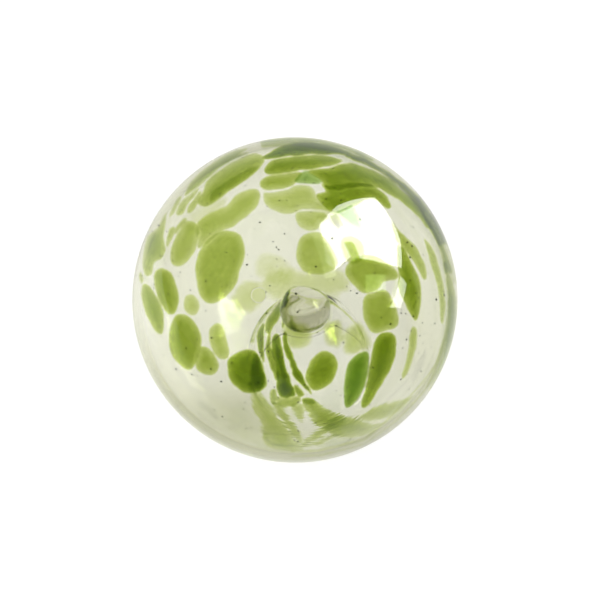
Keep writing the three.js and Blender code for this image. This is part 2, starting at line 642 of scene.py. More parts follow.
def far_wall_flecks() -> list:
    """The flecks that show softly: those of the far wall, and three of the near wall over the kick."""
    back = Zone.BACK
    return [
        Patch(((255, 262), (262, 256), (275, 255), (287, 263), (293, 272), (286, 283), (270, 282),
               (258, 276)), Tone.FAINT, back, softness=2.5),
        Patch(((262, 284), (270, 274), (288, 270), (312, 272), (336, 270), (348, 278), (346, 290),
               (330, 296), (300, 292), (285, 297), (268, 296)), Tone.PALE, back, softness=3.5),
        Patch(((233, 300), (237, 289), (246, 282), (257, 282), (262, 290), (260, 303), (252, 311),
               (240, 311)), Tone.PALE, back, softness=2.5),
        Patch(((285.5, 326.5), (294.5, 322), (306, 324.5), (310.5, 336), (306, 346), (294.5, 348.5),
               (286.5, 340.5)), Tone.SOFT, Zone.FRONT, softness=2.5),
        Patch(((344, 336), (349.5, 326.5), (359, 322), (367, 333.5), (369, 345), (361, 349.5), (352, 353),
               (346, 350.5)), Tone.SOFT, Zone.FRONT, softness=2.5),
        Patch(((325.5, 326.5), (331, 322), (340.5, 323), (341.5, 336), (339, 346), (331, 345),
               (325.5, 338)), Tone.SOFT, Zone.FRONT, softness=2.5),
        Fleck((206, 216), 26, 10, -40, Tone.FAINT, back, softness=3.0),
        Fleck((336, 214), 26, 10, 10, Tone.FAINT, back, softness=3.0),
    ]


def floor_bands() -> list:
    """The flecks that were dragged round the base with the kick, and so cross from it to the wall."""
    outlines = (
        (Tone.SOFT, ((250, 388), (251.5, 398), (253, 407), (258.5, 417), (262, 426), (263, 437),
                     (266, 445), (275, 451), (289, 454), (303, 454), (303, 448), (299, 444), (293, 436),
                     (286, 426), (278, 415), (270, 404), (264, 396), (258, 389))),
        (Tone.LIGHT, ((273, 402), (279, 402), (284, 409), (291, 419), (298, 430), (303, 441), (301, 445),
                      (294, 438), (287, 427), (279, 416))),
        (Tone.MID, ((302.5, 400), (312, 398.5), (324, 407.5), (336.5, 413.5), (342.5, 416), (350, 417.5),
                    (358, 418.5), (365.5, 423), (379, 423.5), (392, 421), (404, 413), (396, 422),
                    (382, 429), (367, 434.5), (353, 437), (342.5, 437), (333.5, 435.5), (327, 431),
                    (321, 428), (315, 423.5), (309, 415.5))),
        (Tone.LIGHT, ((355, 418.5), (366, 411), (379, 405), (391.5, 402), (403.5, 398.5), (413, 396.5),
                      (424, 392), (436, 382), (430, 391), (417.5, 400.5), (406.5, 407.5), (396, 413.5),
                      (385.5, 418), (373, 420), (361, 420))),
        (Tone.LIGHT, ((301, 445), (308, 438), (318, 430), (328, 423), (338, 416.5), (345, 415),
                      (343, 421), (334, 428), (322, 436), (311, 443), (304, 447))),
        (Tone.SOFT, ((291, 404), (302, 404), (303.5, 412), (302, 421), (296, 415))),
    )
    ring = ((262, 432), (266, 438), (272, 444), (284, 447.5), (303, 447), (318, 443.5), (327, 439.5),
            (336, 434))
    marks = [Patch(outline, tone, zone) for tone, outline in outlines for zone in (Zone.KICK, Zone.FLOOR)]
    return marks + [Streak(ring, 1.0, 1.2, Tone.MID, zone) for zone in (Zone.KICK, Zone.FLOOR)]


def kick_streaks() -> list:
    """The trails of green drawn down the kick's left flank, and the patches where they meet the base, with
    painted shade as dark lines along the seal's top and the kick's outlines.
    """
    kick = Zone.KICK
    return [
        # Painted shade: a dark line along the top of the seal's outline.
        Streak(((286.5, 293), (291, 287.5), (299.4, 285.4), (310, 287), (319.5, 291), (327, 297),
                (331, 303)), 0.5, 0.4, Tone.DARK, kick),
        # Painted shade: a dark line along the kick's right outline.
        Streak(((331, 302), (341, 309), (350, 317), (358, 327), (364, 338), (369, 349)), 0.35, 0.35,
                Tone.FULL, kick),
        Patch(((286, 292.5), (281, 292.6), (274.8, 296), (270.6, 298.6), (264.5, 305.5), (261, 311),
               (257, 318), (259, 320.5), (264, 313), (268, 309), (272.5, 304.4), (278.6, 298.6),
               (285, 295.2)), Tone.SOFT, kick),
        Streak(((286, 293), (281.3, 293.2), (274.8, 296.3), (270.6, 299), (264.8, 305.5),
                (261.6, 310.5)), 0.5, 0.6, Tone.FULL, kick),
        # This streak and the next: green trails along the kick's left outline, darkened with painted shade
        # into its dark outline.
        Streak(((283, 296.5), (274.8, 302.5), (267.9, 310.5), (263.3, 315.1),
                (257.2, 322.7)), 0.5, 0.9, Tone.DEEP, kick),
        Streak(((259.5, 320), (257.2, 322.7), (253.7, 328.9), (251.3, 334.5), (250.5, 341)), 0.8, 1.0,
                Tone.DARK, kick),
        Patch(((284, 299.5), (280.9, 301.7), (278.2, 305.1), (274.4, 309.3), (271.7, 313.6),
               (268.7, 317.4), (266.8, 322), (265.2, 327.3), (266, 332), (269.4, 333), (271, 330),
               (273.3, 325.8), (275.9, 322.7), (277.9, 319.7), (279.8, 315.9), (281.7, 312),
               (282.8, 308.5)), Tone.DARK, kick),
        Patch(((283.5, 300), (280, 303.5), (277, 308), (275, 312), (278, 314), (281, 311), (283, 307)),
               Tone.PALE, kick),
        Patch(((263.3, 324), (261, 326.5), (259.1, 330), (258, 335), (257.8, 341.5), (258.9, 348.5),
               (260.5, 353), (262.3, 358.3), (263.8, 361.5), (264.3, 357.4), (263.2, 350.7), (263.3, 345),
               (263.2, 336), (263.9, 331.5)), Tone.DARKEST, kick),
        Patch(((269.5, 332), (268, 337), (266.3, 344), (266.3, 351.6), (268.1, 359.2), (269.9, 363.7),
               (271.7, 369.9), (274.3, 374), (275.5, 379), (279, 379), (278, 370), (275.5, 361),
               (272.5, 353), (270.3, 345), (270.2, 338)), Tone.DARK, kick),
        Patch(((275.5, 334.5), (273, 338.5), (272.3, 344.9), (272.6, 351.6), (274.3, 357.4),
               (276.6, 363.7), (277, 371), (277.5, 379), (277, 385), (278, 390.5), (280, 395),
               (286, 396.7), (290.4, 395.8), (295.3, 394.5), (293.3, 387.5), (290.9, 382.4),
               (289.1, 376.2), (286.4, 371.3), (284.6, 364.6), (283.3, 357.4), (282.4, 350.7),
               (280.6, 344.9), (279.5, 337.5), (278, 334.5)), Tone.DARKEST, kick),
        Patch(((275, 345), (276, 355), (279, 364), (282, 372), (285, 378), (287.5, 376), (284, 366),
               (281.5, 356), (279, 347)), Tone.LIGHT, kick),
        Patch(((280, 384.5), (279.5, 391), (284, 395.5), (291, 394.5), (293, 389), (288, 383)),
               Tone.SOFT, kick),
        Patch(((284.2, 333), (283.3, 338.2), (284.3, 344.9), (284.6, 349.4), (286.8, 356.1), (289.5, 361),
               (290.4, 366.4), (292.6, 369), (293.1, 373.9), (296.2, 378.4), (299.3, 382), (303.8, 386.4),
               (308.3, 390), (311, 393), (309.6, 388.7), (305.6, 383.3), (302.5, 377.5), (300.2, 371.7),
               (297.6, 368.1), (296.2, 363.7), (293.5, 359.2), (292.2, 353.9), (290, 348.5), (287.3, 344),
               (286.4, 337.3), (285.8, 333)), Tone.DARKEST, kick),
        Patch(((288.5, 291.5), (286.6, 293.5), (284.8, 297), (283.8, 300), (283.2, 304), (281.6, 308),
               (283.6, 308), (286.5, 305), (287.6, 301), (287.6, 297), (289, 294)), Tone.BLACK, kick),
        Patch(((283.8, 318), (286, 316.5), (285.6, 320), (284, 324.5), (282.8, 328), (282.4, 324),
               (283, 320)), Tone.DARK, kick),
        Patch(((294, 384.5), (297.5, 385.5), (301, 389.5), (304, 394), (300.5, 396.5), (296, 393)),
               Tone.DARK, kick),
        Patch(((302, 398.5), (307, 397.4), (313.6, 399), (315, 403), (309, 404), (304, 402)),
               Tone.FULL, kick),
        Patch(((253.4, 354.8), (256.5, 354.3), (259.6, 358.3), (262.3, 363.7), (264.1, 370.8),
               (265.4, 376.2), (266.8, 382.9), (265, 386.9), (261.4, 389.6), (256, 390.9), (252.5, 388.7),
               (250.7, 385), (251, 375), (251.5, 365)), Tone.DARK, kick),
        Patch(((273.5, 388.5), (275.7, 390), (277, 397), (275.2, 403), (272, 403.5), (270.3, 396),
               (271.2, 390)), Tone.FULL, kick),
        Patch(((277, 396), (283, 398), (291, 397.5), (298, 396), (301, 400), (294, 405), (284, 406),
               (277, 403)), Tone.MID, kick),
    ]


@dataclass(frozen=True)
class HazeAndPaintedShade:
    """How milky the near wall's clear glass is: a little all over as the glass's own milkiness, with
    painted shade on top: more at the lower left, the bottom and the right, less along the left outline as
    painted light, and more in a band along the lower outline.

    Each place gives its middle and its reach in the photograph's pixels, and what it adds.
    """

    everywhere: float = 1.0
    # Places of painted shade; the one at the left outline takes some away, as painted light.
    places: tuple = (
        ((228, 414), (40, 24), 1.5),
        ((258, 436), (48, 16), 0.7),
        ((136, 300), (16, 90), -0.9),
        ((340, 430), (70, 30), 0.4),
        ((430, 340), (30, 70), 0.5),
        ((172, 416), (30, 34), 0.6),
    )
    # A band of painted shade along the lower outline.
    low_edge_shade: float = 1.2
    low_edge_shade_from: float = 0.965
    low_edge_shade_to: float = 0.995
    low_edge_shade_way: tuple = (-0.3, 0.95)

    def amount(self, pixels: np.ndarray, camera: PhotoCamera) -> np.ndarray:
        """The glass's milkiness with its painted shade at places of the photograph.

        Args:
            pixels: the places.
            camera: the photograph's camera.

        Returns:
            The milkiness with painted shade at each place, where 1 takes about three tenths of the light.
        """
        milk_and_shade = np.full(len(pixels), self.everywhere)
        for middle, reach, strength in self.places:
            offset = (pixels - np.array(middle)) / np.array(reach)
            milk_and_shade += strength * np.exp(-np.sum(offset**2, axis=1))
        out = (pixels - np.array(camera.ball_pixel)) / camera.ball_radius_pixels
        band = self.low_edge_shade_to - self.low_edge_shade_from
        edge = np.clip((np.linalg.norm(out, axis=1) - self.low_edge_shade_from) / band, 0, 1)
        return milk_and_shade + self.low_edge_shade * edge * np.clip(out @ np.array(self.low_edge_shade_way), 0, 1)


@dataclass
class ColourLayers:
    """Spreads the marks over a few layers, so that no two that touch share one, and stores them."""

    count: int = 6
    clearance: float = 7.0
    marks: list = field(default_factory=list)

    def assign(self, inside: list) -> list:
        """Gives each mark a layer in which nothing else is near it.

        Args:
            inside: for each mark, the distance inside its edge of every point of the skin.

        Returns:
            The layer number of each mark.
        """
        taken = [np.full(len(inside[0]), -float(FRAME_WIDTH)) for _ in range(self.count)]
        chosen = []
        for depth in inside:
            clash = [float(np.max(np.minimum(depth, layer))) for layer in taken]
            free = [index for index, value in enumerate(clash) if value < -self.clearance / 2]
            layer = free[0] if free else int(np.argmin(clash))
            taken[layer] = np.maximum(taken[layer], depth)
            chosen.append(layer)
        return chosen

    def store(self, mesh: bpy.types.Mesh, zone: np.ndarray, pixels: np.ndarray) -> None:
        """Writes each layer to the mesh as a vector: distance inside, tone and blueness.

        Args:
            mesh: the ball's mesh.
            zone: zone number of each of its points.
            pixels: where the photograph shows each of them.
        """
        inside = []
        for mark in self.marks:
            depth = mark.inside(pixels)
            inside.append(np.where(zone == mark.zone.value, depth, -FAR_OUTSIDE))
        layers = self.assign(inside)
        for layer in range(self.count):
            value = np.zeros((len(pixels), 3), np.float32)
            best = np.full(len(pixels), -FAR_OUTSIDE)
            for mark, depth, chosen in zip(self.marks, inside, layers):
                if chosen == layer:
                    closer = depth > best
                    best = np.where(closer, depth, best)
                    value[:, 1] = np.where(closer, mark.tone.value, value[:, 1])
                    value[:, 2] = np.where(closer, mark.blue, value[:, 2])
            value[:, 0] = best
            attribute = mesh.attributes.new(f"fleck_layer_{layer}", "FLOAT_VECTOR", "POINT")
            attribute.data.foreach_set("vector", value.ravel())


class Wire:
    """A node's output, which adds, subtracts and multiplies as a number does, by Math nodes."""

    def __init__(self, bench: "NodeBench", socket: bpy.types.NodeSocket) -> None:
        """Keeps the output and the bench that it is on."""
        self.bench = bench
        self.socket = socket

    def __add__(self, other: object) -> "Wire":
        """The sum."""
        return self.bench.math("ADD", self, other)

    def __sub__(self, other: object) -> "Wire":
        """The difference."""
        return self.bench.math("SUBTRACT", self, other)

    def __rsub__(self, other: object) -> "Wire":
        """The difference from a number."""
        return self.bench.math("SUBTRACT", other, self)

    def __mul__(self, other: object) -> "Wire":
        """The product."""
        return self.bench.math("MULTIPLY", self, other)


class NodeBench:
    """Short ways to add nodes to a material or a world."""

    def __init__(self, owner: bpy.types.ID) -> None:
        """Clears the nodes of a material or a world and works on them."""
        owner.use_nodes = True
        self.owner = owner
        self.tree = owner.node_tree
        self.tree.nodes.clear()

    def add(self, kind: str, **settings: object) -> bpy.types.Node:
        """Adds a node and sets its properties.

        Args:
            kind: Blender's name for the node type.
            settings: properties to set on it.

        Returns:
            The node.
        """
        node = self.tree.nodes.new(kind)
        for key, value in settings.items():
            setattr(node, key, value)
        return node

    def feed(self, node: bpy.types.Node, **values: object) -> bpy.types.Node:
        """Links a node's inputs to wires, or sets their plain values.

        Args:
            node: the node.
            values: a wire or a value for each input, by its name with low lines for spaces.

        Returns:
            The node.
        """
        for name, value in values.items():
            self.connect(node.inputs[name.replace("_", " ")], value)
        return node

    def connect(self, socket: bpy.types.NodeSocket, value: object) -> None:
        """Links a socket to a wire, or sets its plain value."""
        if isinstance(value, Wire):
            self.tree.links.new(value.socket, socket)
        else:
            socket.default_value = value

    def fill(self, node: bpy.types.Node, values: tuple) -> Wire:
        """Feeds a node's inputs in order and returns its first output."""
        for socket, value in zip(node.inputs, values):
            self.connect(socket, value)
        return Wire(self, node.outputs[0])

    def math(self, operation: str, *values: object, clamp: bool = False) -> Wire:
        """Adds a Math node.

        Args:
            operation: its operation.
            values: wires or numbers for its inputs, in order.
            clamp: whether the result is held between 0 and 1.

        Returns:
            Its output.
        """
        return self.fill(self.add("ShaderNodeMath", operation=operation, use_clamp=clamp), values)

    def tint(self, colour: tuple, amount: Wire) -> Wire:
        """A colour times an amount."""
        node = self.add("ShaderNodeVectorMath", operation="SCALE")
        self.connect(node.inputs["Scale"], amount)
        return self.fill(node, (colour,))

    def blend(self, first: Wire, second: Wire) -> Wire:
        """The sum of two vectors."""
        return self.fill(self.add("ShaderNodeVectorMath", operation="ADD"), (first, second))

    def attribute(self, name: str) -> tuple:
        """The three numbers of a vector that is stored on the mesh."""
        node = self.add("ShaderNodeAttribute", attribute_name=name)
        return self.split(Wire(self, node.outputs["Vector"]))

    def place(self, kind: str = "Object") -> Wire:
        """The place of the point that is being coloured, or for a world its direction."""
        return Wire(self, self.add("ShaderNodeTexCoord").outputs[kind])

    def light_path(self, name: str) -> Wire:
        """How often the light has been mirrored or let through so far."""
        return Wire(self, self.add("ShaderNodeLightPath").outputs[name])

    def split(self, vector: Wire) -> tuple:
        """Splits a vector into its three numbers."""
        node = self.add("ShaderNodeSeparateXYZ")
        self.connect(node.inputs[0], vector)
        return tuple(Wire(self, output) for output in node.outputs)

    def join(self, *values: object) -> Wire:
        """Joins three numbers into a vector."""
        return self.fill(self.add("ShaderNodeCombineXYZ"), values)

    def noise(self, vector: Wire, scale: float, detail: float = 2.0) -> Wire:
        """Adds a noise texture.

        Args:
            vector: its coordinates.
            scale: its scale.
            detail: its detail.

        Returns:
            Its value, about one half on average.
        """
        node = self.add("ShaderNodeTexNoise")
        return Wire(self, self.feed(node, Vector=vector, Scale=scale, Detail=detail).outputs[0])

    def ramp(self, value: Wire, low: float, high: float) -> Wire:
        """Eases a value from 0 to 1 between two limits."""
        node = self.add("ShaderNodeMapRange", interpolation_type="SMOOTHSTEP")
        return Wire(self, self.feed(node, Value=value, From_Min=low, From_Max=high).outputs[0])

    def finish(self, shader: bpy.types.Node, volume: bpy.types.Node | None = None) -> bpy.types.Material:
        """Connects the shader, and what fills the form, and returns the material."""
        output = self.add("ShaderNodeOutputMaterial")
        self.tree.links.new(shader.outputs[0], output.inputs["Surface"])
        if volume is not None:
            self.tree.links.new(volume.outputs[0], output.inputs["Volume"])
        return self.owner


@dataclass(frozen=True)
class FleckedGlass:
    """Clear glass with green melted into its skin: the deeper the fleck, the darker its green. Its
    milkiness also carries painted shade.

    Each colour is what one measure of that glass takes from red, green and blue light. Scales are those of
    noise textures, and reaches say how many of the photograph's pixels they move a fleck's edge.
    """

    green: tuple = (0.86, 0.64, 2.3)
    blue_green: tuple = (1.25, 0.62, 1.35)
    haze_and_painted_shade: tuple = (0.17, 0.165, 0.27)
    crossings: float = 2.0
    absorbed: tuple = (0.63, 0.63, 0.34, 1.0)
    density: float = 45.0
    edge: float = 1.5
    edge_body: float = 0.62
    middle_body: float = 0.5
    body_from: float = -1.0
    body_to: float = 9.0
    wobble_scale: float = 260.0
    wobble_reach: float = 3.2
    comb_scale: float = 2200.0
    comb_turn_scale: float = 6.0
    comb_reach: float = 11.0
    mottle_scale: float = 900.0
    mottle_share: float = 0.35
    cloud_scale: float = 170.0
    cloud_share: float = 0.3
    ripple_scale: float = 60.0
    ripple_rise_scale: float = 25.0
    ripple_strength: float = 0.04
    ripple_height: float = 0.0006

    def edge_shift(self, bench: NodeBench, place: Wire, ragged: Wire) -> Wire:
        """How far noise moves the flecks' edges, most where the glass was combed round the base.

        Args:
            bench: the material's nodes.
            place: the place on the ball.
            ragged: how combed the glass is.

        Returns:
            The shift in pixels.
        """
        x, y, z = bench.split(place)
        wobble = bench.noise(place, self.wobble_scale, 3.0) - 0.5
        radius = bench.math("SQRT", x * x + y * y)
        turn = bench.math("ARCTAN2", y, x)
        comb_place = bench.join(radius * self.comb_scale, turn * self.comb_turn_scale, z * self.comb_scale)
        comb = bench.noise(comb_place, 1.0, 1.0) - 0.5
        return wobble * self.wobble_reach + comb * (ragged * self.comb_reach)

    def fleck_depths(self, bench: NodeBench, shift: Wire) -> tuple:
        """Adds up the flecks of all layers.

        Args:
            bench: the material's nodes.
            shift: how far the edges are moved.

        Returns:
            The depth of green and the depth of blue-green glass.
        """
        depth_green = 0.0
        depth_blue = 0.0
        for layer in range(ColourLayers.count):
            inside, tone, blue = bench.attribute(f"fleck_layer_{layer}")
            inside = inside + shift
            cover = bench.ramp(inside, -self.edge, self.edge)
            body = bench.ramp(inside, self.body_from, self.body_to) * self.middle_body + self.edge_body
            amount = cover * body * tone
            blue_part = amount * blue
            depth_blue = blue_part + depth_blue
            depth_green = amount - blue_part + depth_green
        return depth_green, depth_blue

    def light_left(self, bench: NodeBench) -> Wire:
        """The colour that is left of white light that has passed the flecks and the milkiness with its
        painted shade.
        """
        place = bench.place()
        haze_and_painted_shade, ragged, _ = bench.attribute("haze_shade_and_comb")
        depth_green, depth_blue = self.fleck_depths(bench, self.edge_shift(bench, place, ragged))
        even = 1 - (self.mottle_share + self.cloud_share) / 2
        cloud = bench.noise(place, self.cloud_scale) * self.cloud_share
        grain = bench.noise(place, self.mottle_scale) * self.mottle_share + (cloud + even)
        green = bench.tint(self.green, depth_green * grain)
        flecks = bench.blend(green, bench.tint(self.blue_green, depth_blue))
        # The milkiness adds painted shade in places, as well as the glass's own even tint.
        total = bench.split(bench.blend(flecks, bench.tint(self.haze_and_painted_shade, haze_and_painted_shade)))
        return bench.join(*[bench.math("EXPONENT", part * -self.crossings) for part in total])

    def make(self) -> bpy.types.Material:
        """Builds the material.

        Returns:
            The material.
        """
        bench = NodeBench(bpy.data.materials.new("green_flecked_glass"))
        x, y, z = bench.split(bench.place())
        across, up = self.ripple_scale, self.ripple_rise_scale
        ripple = bench.noise(bench.join(x * across, y * across, z * up), 1.0, 1.0)
        bump = bench.add("ShaderNodeBump")
        bench.feed(bump, Strength=self.ripple_strength, Distance=self.ripple_height, Height=ripple)
        shader = bench.add("ShaderNodeBsdfPrincipled")
        bench.feed(shader, Roughness=0.0, IOR=GLASS_INDEX, Transmission_Weight=1.0)
        bench.feed(shader, Base_Color=self.light_left(bench), Normal=Wire(bench, bump.outputs[0]))
        depth = bench.add("ShaderNodeVolumeAbsorption")
        return bench.finish(shader, bench.feed(depth, Color=self.absorbed, Density=self.density))


@dataclass(frozen=True)
class SeedGrit:
    """The dark specks of grit that came in with the frit."""

    dark: tuple = (0.03, 0.045, 0.015, 1.0)
    pale: tuple = (0.09, 0.10, 0.03, 1.0)
    patch_scale: float = 400.0
    roughness: float = 0.6

    def make(self) -> bpy.types.Material:
        """Builds the material.

        Returns:
            The material.
        """
        bench = NodeBench(bpy.data.materials.new("seed_grit"))
        mix = bench.add("ShaderNodeMix", data_type="RGBA")
        # Of a colour mix's inputs, 0 is the share, and 6 and 7 are the two colours. Output 2 is the mix.
        bench.connect(mix.inputs[0], bench.noise(bench.place(), self.patch_scale))
        bench.connect(mix.inputs[6], self.dark)
        bench.connect(mix.inputs[7], self.pale)
        shader = bench.add("ShaderNodeBsdfPrincipled")
        bench.feed(shader, Base_Color=Wire(bench, mix.outputs[2]), Roughness=self.roughness)
        return bench.finish(shader)


@dataclass
class BlownBall:
    """The ball's glass: its outer skin with the recess, and the sealed cavity with the kick and its seal.

    Crowding says where the points round the axis stand closest and how far that side reaches, in degrees,
    and how much closer they stand there. Combs say up to which height the glass round the base was dragged
    ragged, on the floor of the cavity and on the kick, and over what height that fades.
    """

    sizes: BallSizes
    camera: PhotoCamera
    segments: int = 312
    crowding: tuple = (-90.0, 80.0, 1.0)
    sphere_steps: int = 132
    dome_steps: int = 28
    foot_inner_steps: int = 6
    foot_outer_steps: int = 5
    scar_rings: tuple = (0.0, 1.5, 3.0)
    cavity_segments: int = 220
    cavity_crowding: tuple = (-135.0, 50.0, 2.2)
    cavity_steps: int = 70
    seal_steps: int = 52
    kick_steps: int = 60
    collar_steps: int = 4
    trough_steps: int = 12
    kick_radius: float = 19.9
    kick_top: float = 36.2
    kick_shift: float = -0.5
    kick_shift_height: float = 20.0
    seal_radius: float = 8.0
    seal_height: float = 37.6
    seal_flat: float = 5.9
    seal_edge: float = 0.35
    seal_tilt: float = 40.0
    seal_tilt_heading: float = 53.0
    trough_round: float = 1.5
    dome_foot: float = 9.0
    crease_smoothing: int = 14
    crease_above: int = 14
    crease_below: int = 10
    swell: float = 0.03
    swell_reach: float = 12.0
    swell_waves: tuple = ((2, 9.0, 1.0), (5, -6.0, 0.3))
    blister_pixel: tuple = (257.6, 295.0)
    blister_radius: float = 2.15
    blister_depth: float = 0.1
    blister_squareness: float = 0.15
    blister_steps: int = 18
    blister_sides: int = 40
    bead_pixels: tuple = (
        (267.4, 347.8), (269.7, 350.5), (261.4, 352.7), (268.3, 358.8), (271.2, 363.5), (278.8, 373.7),
        (283.7, 377.5), (294.4, 361.9), (293.8, 369.5), (298.0, 376.4), (258.5, 360.6), (274.8, 338.9),
        (280.6, 363.5), (258.5, 404.1), (261.8, 388.5), (268.5, 357.0), (272.0, 368.0), (289.0, 373.0),
    )
    bead_radius: float = 0.2
    bead_shares: tuple = (0.8, 0.9, 1.0, 1.1)
    bead_cover: float = 0.12
    bead_drop: float = 4.0
    bead_steps: int = 6
    bead_sides: int = 10
    comb_top: float = 18.0
    comb_fade: float = 8.0
    kick_comb_top: float = 14.0
    kick_comb_fade: float = 6.0

    def outer_profile(self) -> tuple:
        """Radius and height down the recess, round the foot and up the sphere.

        Returns:
            The points, and how many of them belong to the recess.
        """
        s = self.sizes
        scar = math.pi - math.asin(s.scar_radius / s.collar_radius)
        quarter = math.pi / 2
        scar_disc = [[radius, s.dome_top] for radius in self.scar_rings]
        dome = arc((0, s.collar_height), s.collar_radius, s.dome_rise, scar, quarter, self.dome_steps)
        bend = s.foot_inner_round
        inner = arc((s.foot_inner_radius, bend), bend, bend, -quarter, 0, self.foot_inner_steps)
        bend = s.foot_outer_round
        outer = arc((s.foot_outer_radius, bend), bend, bend, 0, s.spring_angle, self.foot_outer_steps)
        ball = s.ball_radius
        sphere = arc((0, s.centre_height), ball, ball, s.spring_angle, math.pi, self.sphere_steps)
        recess = np.concatenate([scar_disc, dome, inner])
        return np.concatenate([recess, outer, sphere[1:]]), len(recess)

    def cavity_profile(self) -> np.ndarray:
        """Radius and height from the seal's top down the kick, through the trough and up the cavity.

        Returns:
            The points.
        """
        s = self.sizes
        quarter = math.pi / 2
        reach = s.cavity_radius
        round_radius = self.kick_radius + self.trough_round
        springing = s.centre_height - math.sqrt((reach - self.trough_round) ** 2 - round_radius**2)
        rise = self.kick_top - self.dome_foot
        dome = arc((0, self.dome_foot), self.kick_radius, rise, math.pi, quarter, self.kick_steps)
        dome = dome[np.hypot(dome[:, 0], dome[:, 1] - self.seal_height) > self.seal_radius]
        meeting = math.atan2(dome[0, 0], self.seal_height - dome[0, 1])
        lump = self.seal_radius
        seal = arc((0, self.seal_height), lump, lump, math.pi, meeting, self.seal_steps)
        heights = np.linspace(self.dome_foot, springing, self.collar_steps + 1)[1:-1]
        collar = [[self.kick_radius, height] for height in heights]
        kick = np.concatenate([seal, dome[1:], collar])
        crease = slice(len(seal) - self.crease_above, len(seal) + self.crease_below)
        for _ in range(self.crease_smoothing):
            part = kick[crease].copy()
            part[1:-1] = (part[:-2] + part[2:] + 2 * part[1:-1]) / 4
            kick[crease] = part
        sphere_angle = math.asin(round_radius / (reach - self.trough_round))
        bend = self.trough_round
        trough = arc((round_radius, springing), bend, bend, -quarter, sphere_angle, self.trough_steps)
        sphere = arc((0, s.centre_height), reach, reach, sphere_angle, math.pi, self.cavity_steps)
        return np.concatenate([kick, trough, sphere[1:]])

    def crowded_turns(self, count: int, middle: float, reach: float, extra: float) -> np.ndarray:
        """Angles round the axis that stand closer together on the side where the detail is.

        Args:
            count: how many angles.
            middle: where they stand closest, in degrees.
            reach: how far that side reaches, in degrees.
            extra: how much closer they stand there.

        Returns:
            The angles in radians.
        """
        tenths = 3600
        turn = np.linspace(middle - 180, middle + 180, tenths + 1)
        weight = 1 + extra * np.exp(-(((turn - middle) / reach) ** 2))
        run = np.concatenate([[0.0], np.cumsum((weight[1:] + weight[:-1]) / 2)])
        return np.radians(np.interp(np.arange(count) / count * run[-1], run, turn))

    def lathe(self, profile: np.ndarray, angle: np.ndarray, first: int, outward: bool) -> tuple:
        """Turns a profile about the ball's axis.

        Args:
            profile: radius and height of each ring, where the first and the last are on the axis.
            angle: where the points of each ring stand, in radians.
            first: number that the first new point gets.
            outward: whether the faces look out of the turned form.

        Returns:
            The points and the faces.
        """
        segments = len(angle)
        rings = profile[1:-1]
        body = np.empty((len(rings), segments, 3))
        body[:, :, 0] = rings[:, 0:1] * np.cos(angle)
        body[:, :, 1] = rings[:, 0:1] * np.sin(angle)
        body[:, :, 2] = rings[:, 1:2]
        points = np.concatenate([[[0, 0, profile[0][1]]], body.reshape(-1, 3), [[0, 0, profile[-1][1]]]])
        faces = []
        last = first + 1 + len(rings) * segments
        top = last - segments
        sides = [(k, (k + 1) % segments) for k in range(segments)]
        for k, j in sides:
            faces.append((first, first + 1 + j, first + 1 + k))
            faces.append((last, top + k, top + j))
        for base in range(first + 1, top, segments):
            faces.extend((base + k, base + j, base + segments + j, base + segments + k) for k, j in sides)
        if not outward:
            faces = [face[::-1] for face in faces]
        return points, faces

    def build(self) -> bpy.types.Object:
        """Makes the ball's mesh and stores its colours.

        Returns:
            The ball's object.
        """
        profile, recess_rings = self.outer_profile()
        outer_turns = self.crowded_turns(self.segments, *self.crowding)
        outer, outer_faces = self.lathe(profile, outer_turns, 0, True)
        in_recess = np.zeros(len(outer), bool)
        in_recess[: 1 + (recess_rings - 1) * self.segments] = True
        s = self.sizes
        outer[:, 0] += np.where(in_recess, s.lean(outer[:, 2]), 0)
        cavity_profile = self.cavity_profile()
        cavity_turns = self.crowded_turns(self.cavity_segments, *self.cavity_crowding)
        cavity, cavity_faces = self.lathe(cavity_profile, cavity_turns, len(outer), False)
        kick_rings = int(np.argmax(cavity_profile[:, 1] == cavity_profile[:, 1].min()))
        on_kick = np.zeros(len(cavity), bool)
        on_kick[: 1 + kick_rings * self.cavity_segments] = True
        cavity = np.where(on_kick[:, None], self.flatten_seal(cavity), cavity)
        height = cavity[:, 2]
        shift = s.lean(np.minimum(height, s.dome_top))
        shift += self.kick_shift * np.clip(height / self.kick_shift_height, 0, 1)
        cavity[:, 0] += np.where(on_kick, shift, 0)
        cavity += self.unevenness(cavity)
        bubbles, bubble_faces = self.bubbles(len(outer) + len(cavity), cavity[on_kick])
        points = np.concatenate([outer, cavity, bubbles])
        ball = make_object("blown_ball", points * METRES, outer_faces + cavity_faces + bubble_faces)
        ball.data.shade_smooth()
        self.colour(ball.data, points, in_recess, on_kick)
        return ball

    def flatten_seal(self, points: np.ndarray) -> np.ndarray:
        """Gives the seal its tilted flat, where the rod that carried the glass was broken off.

        Args:
            points: points of the round seal and the kick.

        Returns:
            The points with those above the flat brought down to it.
        """
        tilt = math.radians(self.seal_tilt)
        heading = math.radians(self.seal_tilt_heading)
        aside = math.sin(tilt)
        flat_way = np.array([aside * math.cos(heading), aside * math.sin(heading), math.cos(tilt)])
        height = (points - np.array([0.0, 0.0, self.seal_height])) @ flat_way
        below = (self.seal_flat - height) / self.seal_edge
        lowered = self.seal_flat - self.seal_edge * np.logaddexp(0, below)
        change = np.where(height > 0, lowered - height, 0.0)
        return points + change[:, None] * flat_way

